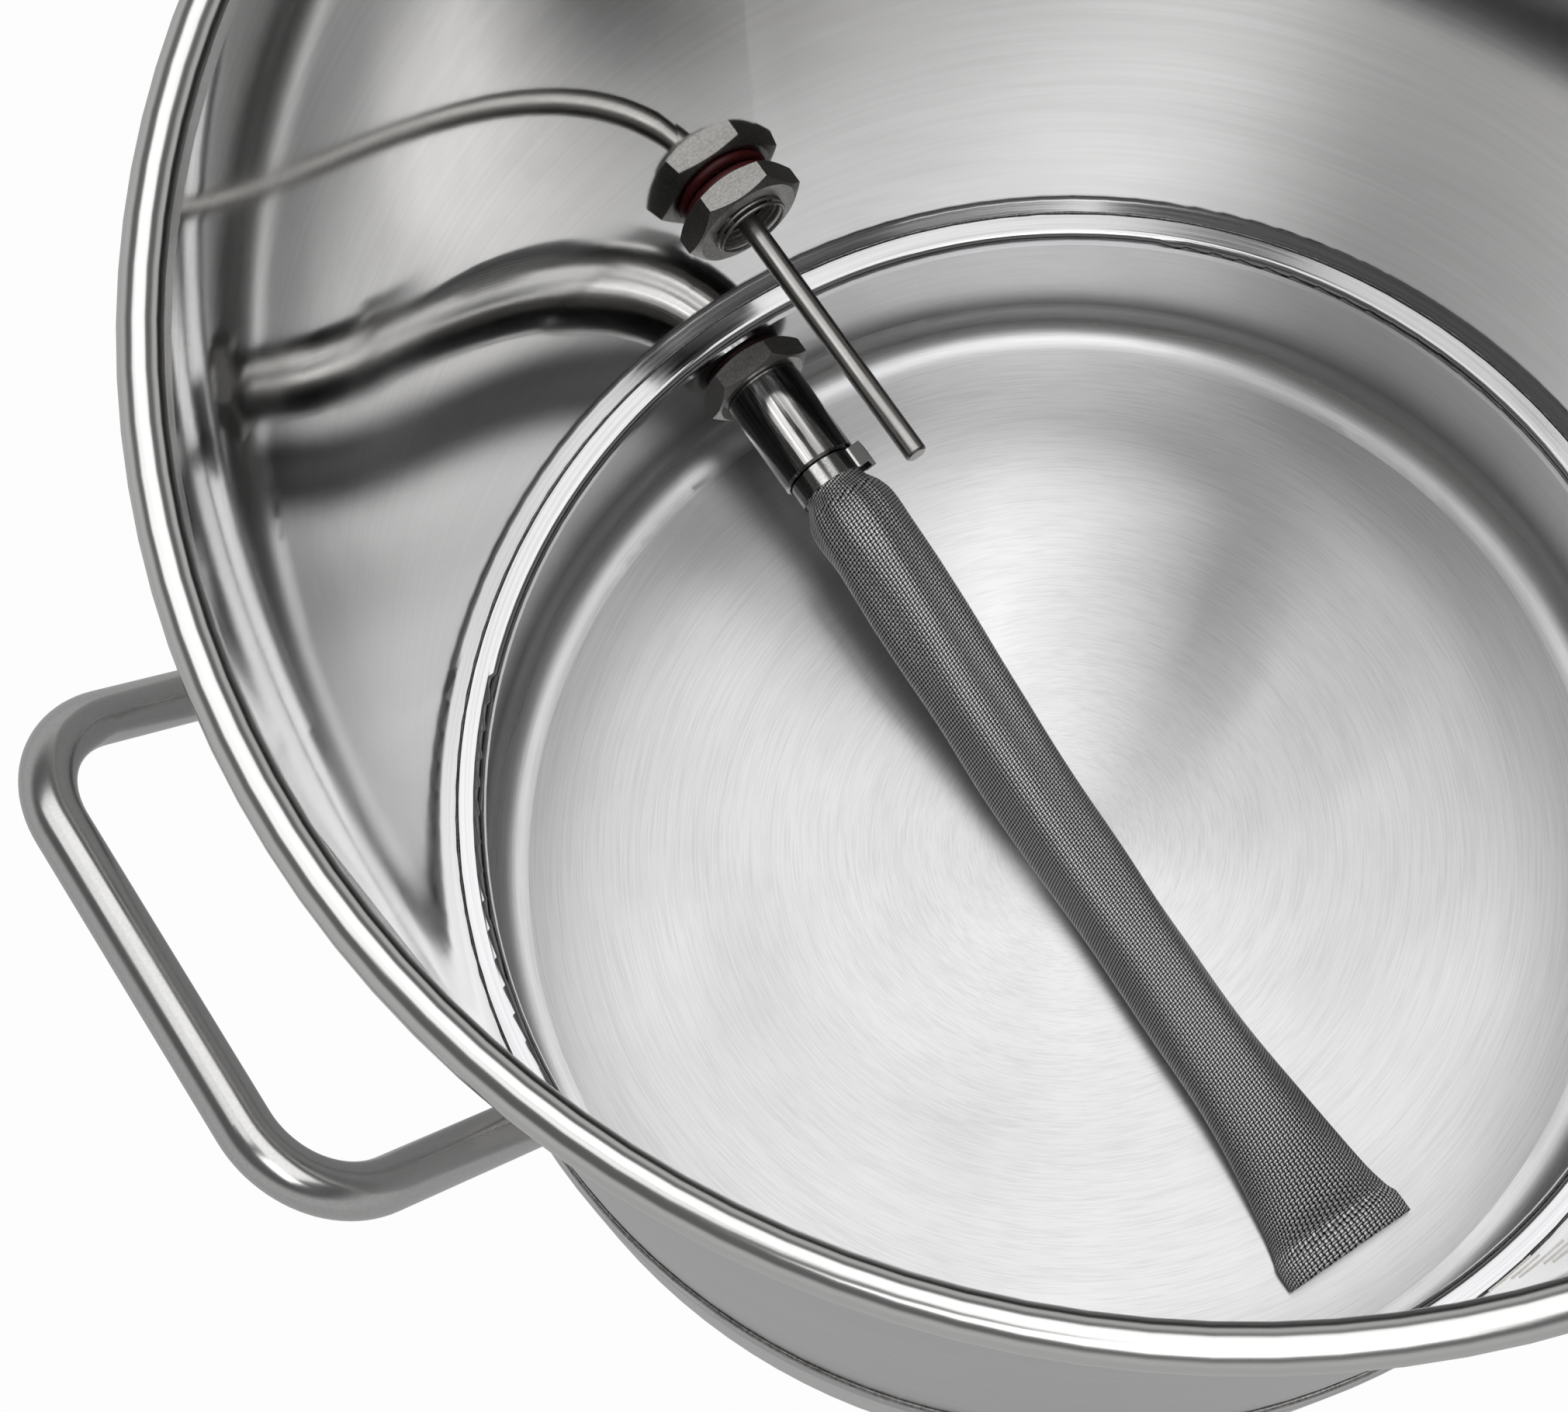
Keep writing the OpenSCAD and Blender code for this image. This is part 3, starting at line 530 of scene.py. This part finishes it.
def makeScreen():
    bpy.ops.object.select_all(action="DESELECT")
    bpy.ops.mesh.primitive_grid_add(x_subdivisions=screenShape["sides"], y_subdivisions=screenShape["rings"],
                                    size=1.0)
    screen = bpy.context.object
    screen.name = "screenWeave"
    length = screenShape["end"] - screenShape["freeStart"]
    step = screenShape["slopeStep"]
    slopeFrom, slopeTo = screenShape["slopeWithin"]
    lowest = kettle["sheet"] + screenShape["lowestGap"]
    for v in screen.data.vertices:
        angle = (v.co.x + 0.5) * 2 * math.pi
        y = screenShape["start"] + (v.co.y + 0.5) * (screenShape["end"] - screenShape["start"])
        share = min(max((y - screenShape["freeStart"]) / length, 0.0), 1.0)
        middle, width, high = screenMiddle(share)
        ahead = screenMiddle(min(share + step, 1.0))[0]
        slope = math.atan((ahead - middle) / (step * length)) if slopeFrom < share < slopeTo else 0.0
        dent = screenDent(angle, y, share)
        across = (width / 2 + dent) * math.cos(angle)
        up = (high / 2 + dent) * math.sin(angle)
        v.co = (across, y - up * math.sin(slope), max(middle + up * math.cos(slope), lowest))
    bpy.ops.object.mode_set(mode="EDIT")
    bpy.ops.mesh.select_all(action="SELECT")
    bpy.ops.mesh.remove_doubles(threshold=screenShape["weldDistance"])
    bpy.ops.mesh.normals_make_consistent(inside=False)
    bpy.ops.object.mode_set(mode="OBJECT")
    bpy.ops.object.shade_smooth()
    wall = screen.modifiers.new("wall", "SOLIDIFY")
    wall.thickness, wall.offset = screenShape["thickness"], -1.0
    bpy.ops.object.modifier_apply(modifier="wall")
    screen.data.materials.append(screenMaterial())
    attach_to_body(screen, "kettle")
    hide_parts("strainer_screen")


makeScreen()
print("stage: screen woven")

# helpers for pieces added over the solids


def settle(piece, smooth=True):
    bpy.ops.object.select_all(action="DESELECT")
    piece.select_set(True)
    bpy.context.view_layer.objects.active = piece
    bpy.ops.object.transform_apply(location=True, rotation=True, scale=True)
    if smooth:
        bpy.ops.object.shade_smooth()


def attach(piece, look, body="kettle"):
    piece.data.materials.append(look)
    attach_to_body(piece, body)


def joinMarks(marks, name):
    bpy.ops.object.select_all(action="DESELECT")
    for mark in marks:
        mark.select_set(True)
    bpy.context.view_layer.objects.active = marks[0]
    bpy.ops.object.join()
    plate = bpy.context.object
    plate.name = name
    settle(plate, smooth=False)
    return plate


def ripple(piece, size, strength):
    cloud = bpy.data.textures.new(piece.name + "Ripple", "CLOUDS")
    cloud.noise_scale = size
    push = piece.modifiers.new("ripple", "DISPLACE")
    push.texture, push.strength, push.mid_level = cloud, strength, 0.5
    bpy.ops.object.modifier_apply(modifier="ripple")


# weld seams where the wall meets the pan ledge

welds = (
    # name, radius, height, thickness
    ("innerSeam", 180.2 * mm, 85.3 * mm, 0.7 * mm),
    ("outerSeam", 181.7 * mm, 85.6 * mm, 0.9 * mm),
)
seamMesh = {"around": 600, "across": 8, "rippleSize": 5 * mm, "ripple": 0.35 * mm}

for name, radius, height, thickness in welds:
    bpy.ops.object.select_all(action="DESELECT")
    bpy.ops.mesh.primitive_torus_add(major_radius=radius, minor_radius=thickness,
                                     major_segments=seamMesh["around"], minor_segments=seamMesh["across"],
                                     location=(0, 0, height))
    seam = bpy.context.object
    seam.name = name
    settle(seam)
    ripple(seam, seamMesh["rippleSize"], seamMesh["ripple"])
    attach(seam, small["weldSteel"])

# screw threads: a small ridge swept into a spiral

threads = (
    # name, centre along the port, height, radius, ridge, pitch, turns
    ("nutThread", 165.4 * mm, kettle["dialHeight"], 10.35 * mm, 0.55 * mm, 1.8 * mm, 2),
    ("outletThread", 238.5 * mm, kettle["drainHeight"], 10.35 * mm, 0.55 * mm, 1.8 * mm, 6),
)
threadMesh = {"ridgeSides": 4, "stepsPerTurn": 64}

for name, start, height, radius, ridge, pitch, turns in threads:
    bpy.ops.object.select_all(action="DESELECT")
    bpy.ops.mesh.primitive_circle_add(vertices=threadMesh["ridgeSides"], radius=ridge,
                                      location=(radius, 0, 0), rotation=(math.pi / 2, 0, 0))
    spiral = bpy.context.object
    spiral.name = name
    settle(spiral, smooth=False)
    sweep = spiral.modifiers.new("sweep", "SCREW")
    sweep.axis, sweep.screw_offset, sweep.iterations = "Z", pitch, turns
    sweep.steps = sweep.render_steps = threadMesh["stepsPerTurn"]
    bpy.ops.object.modifier_apply(modifier="sweep")
    spiral.rotation_euler = (math.pi / 2, 0, 0)
    spiral.location = (0, -start, height)
    settle(spiral, smooth=False)
    attach(spiral, small["castNutSteel"])
print("stage: welds and threads added")

# dial scale: ticks, numerals and a unit

dial = {
    "face": -204.6 * mm, "height": kettle["dialHeight"], "lowest": 0, "highest": 120,
    "tickStep": 2, "majorStep": 10, "numeralStep": 20, "startTurn": -135, "sweep": 270,
    "tickOut": 31.2 * mm, "tickDepth": 0.1 * mm,
    # width and length of the ticks
    "majorTick": (0.7 * mm, 4.2 * mm), "minorTick": (0.35 * mm, 2.2 * mm),
    "numeralAt": 22.6 * mm, "numeralSize": 6.4 * mm, "numeralDepth": 0.05 * mm, "unitAt": 17 * mm,
}


def scaleTurn(value):
    share = (value - dial["lowest"]) / (dial["highest"] - dial["lowest"])
    return math.radians(dial["startTurn"] + dial["sweep"] * share)


def dialSpot(radius, turn):
    return (radius * math.sin(turn), dial["face"], dial["height"] + radius * math.cos(turn))


scaleEnd = dial["highest"] + 1
marks = []
for value in range(dial["lowest"], scaleEnd, dial["tickStep"]):
    turn = scaleTurn(value)
    width, length = dial["minorTick"] if value % dial["majorStep"] else dial["majorTick"]
    bpy.ops.mesh.primitive_cube_add(size=1, location=dialSpot(dial["tickOut"] - length / 2, turn),
                                    rotation=(0, turn, 0), scale=(width, dial["tickDepth"], length))
    marks.append(bpy.context.object)
words = [(str(value), dial["numeralAt"], scaleTurn(value))
         for value in range(dial["lowest"], scaleEnd, dial["numeralStep"])]
words.append(("\u00b0C", dial["unitAt"], math.pi))
for word, radius, turn in words:
    bpy.ops.object.text_add(location=dialSpot(radius, turn), rotation=(math.pi / 2, 0, 0))
    label = bpy.context.object
    label.data.body = word
    label.data.size = dial["numeralSize"]
    label.data.align_x, label.data.align_y = "CENTER", "CENTER"
    label.data.extrude = dial["numeralDepth"]
    label.data.resolution_u = 4
    bpy.ops.object.convert(target="MESH")
    marks.append(bpy.context.object)
attach(joinMarks(marks, "dialScale"), small["pointerPaint"])

# volume strokes on the inside of the wall, in short lengths that follow its curve

gauge = {
    "azimuth": math.radians(95), "radius": 179.95 * mm, "first": 91 * mm, "rise": 19.65 * mm, "count": 16,
    # angle that a stroke spans
    "longSpan": 0.085, "shortSpan": 0.055, "lengths": 12, "overlap": 1.02,
    "depth": 0.6 * mm, "thickness": 0.9 * mm,
}
marks = []
for i in range(gauge["count"]):
    height = gauge["first"] + i * gauge["rise"]
    span = gauge["shortSpan"] if i % 2 else gauge["longSpan"]
    length = span / gauge["lengths"] * gauge["radius"] * gauge["overlap"]
    for k in range(gauge["lengths"]):
        at = gauge["azimuth"] + span * ((k + 0.5) / gauge["lengths"] - 0.5)
        spot = (gauge["radius"] * math.cos(at), gauge["radius"] * math.sin(at), height)
        bpy.ops.mesh.primitive_cube_add(size=1, location=spot, rotation=(0, 0, at),
                                        scale=(gauge["depth"], length, gauge["thickness"]))
        marks.append(bpy.context.object)
attach(joinMarks(marks, "volumeMarks"), small["machinedSteel"])
print("stage: dial and volume marks added")

# studio: pale floor, soft boxes and a grey room

studio = {
    "roomHigh": 0.12,
    "roomLow": 0.5,
    "roomSeen": rgba(0.96, 0.96, 0.96),
    # upward share of the direction between which the room darkens
    "roomFade": (0.3, 0.52),
    "floorSeen": rgba(0.98, 0.98, 0.98),
    "floorMirrored": rgba(0.45, 0.45, 0.45),
    "floorSize": 8,
    "floorHeight": -0.4 * mm,
    "boxes": (
        # name, place, aim, width, depth, brightness
        ("topBox", (-0.55, -0.1, 2.2), (-0.55, -0.1, 0), 1.4, 2.6, 1.28),
        ("rightBox", (0.5, 0.98, 2.2), (0.5, 0.98, 0), 0.85, 1.1, 2.1),
        ("fillBox", (0.5, -0.3, 2.2), (0.5, -0.3, 0), 0.6, 0.75, 1.1),
        ("frontBox", (0.65, -0.9, 2.2), (0.65, -0.9, 0), 1.0, 1.0, 1.15),
    ),
}


def addBox(name, place, aim, width, depth, brightness):
    light = bpy.data.lights.new(name, "AREA")
    light.shape = "RECTANGLE"
    light.size, light.size_y = width, depth
    light.energy = brightness * math.pi * width * depth
    lamp = bpy.data.objects.new(name, light)
    bpy.context.scene.collection.objects.link(lamp)
    lamp.location = place
    lamp.rotation_euler = (Vector(aim) - Vector(place)).to_track_quat("-Z", "Y").to_euler()


for box in studio["boxes"]:
    addBox(*box)

bpy.ops.object.select_all(action="DESELECT")
bpy.ops.mesh.primitive_plane_add(size=studio["floorSize"], location=(0, 0, studio["floorHeight"]))
floor = bpy.context.object
floor.name = "studioFloor"
paper = newMaterial("whitePaper")
glow = addNode(paper, "Emission")
seen = addNode(paper, "LightPath").outputs["Is Camera Ray"]
plug(paper, glow.inputs["Color"], mixColour(paper, seen, studio["floorMirrored"], studio["floorSeen"]))
paper.node_tree.links.new(glow.outputs[0], addNode(paper, "OutputMaterial").inputs[0])
floor.data.materials.append(paper)

world = bpy.data.worlds.new("greyRoom")
world.use_nodes = True
bpy.context.scene.world = world
tree = world.node_tree
back = tree.nodes["Background"]
path = tree.nodes.new("ShaderNodeLightPath")
way = tree.nodes.new("ShaderNodeTexCoord")
up = tree.nodes.new("ShaderNodeSeparateXYZ")
tree.links.new(way.outputs["Generated"], up.inputs[0])
room = tree.nodes.new("ShaderNodeMapRange")
for i, value in enumerate((*studio["roomFade"], studio["roomLow"], studio["roomHigh"])):
    room.inputs[i + 1].default_value = value
tree.links.new(up.outputs[2], room.inputs[0])
shade = tree.nodes.new("ShaderNodeMix")
shade.data_type = "RGBA"
tree.links.new(room.outputs[0], shade.inputs[6])
shade.inputs[7].default_value = studio["roomSeen"]
tree.links.new(path.outputs["Is Camera Ray"], shade.inputs[0])
tree.links.new(shade.outputs[2], back.inputs["Color"])

bpy.context.scene.view_settings.view_transform = "Standard"

camera = {
    "place": (0.1656, 0.1491, 0.8764),
    "aim": (0.0435, -0.0719, 0.0),
    "roll": -4.88,
    "lens": 65.33,
    "sensor": 36,
    "clipStart": 0.02,
    "shift": (-0.0254, 0.0254),
}
lens = bpy.data.cameras.new("kettleCamera")
lens.sensor_width = camera["sensor"]
lens.lens = camera["lens"]
lens.shift_x, lens.shift_y = camera["shift"]
lens.clip_start = camera["clipStart"]
eye = bpy.data.objects.new("kettleCamera", lens)
bpy.context.scene.collection.objects.link(eye)
turn = (Vector(camera["aim"]) - Vector(camera["place"])).to_track_quat("-Z", "Y").to_matrix().to_4x4()
roll = Matrix.Rotation(math.radians(camera["roll"]), 4, "Z")
eye.matrix_world = Matrix.Translation(camera["place"]) @ turn @ roll
bpy.context.scene.camera = eye
print("stage: studio set")
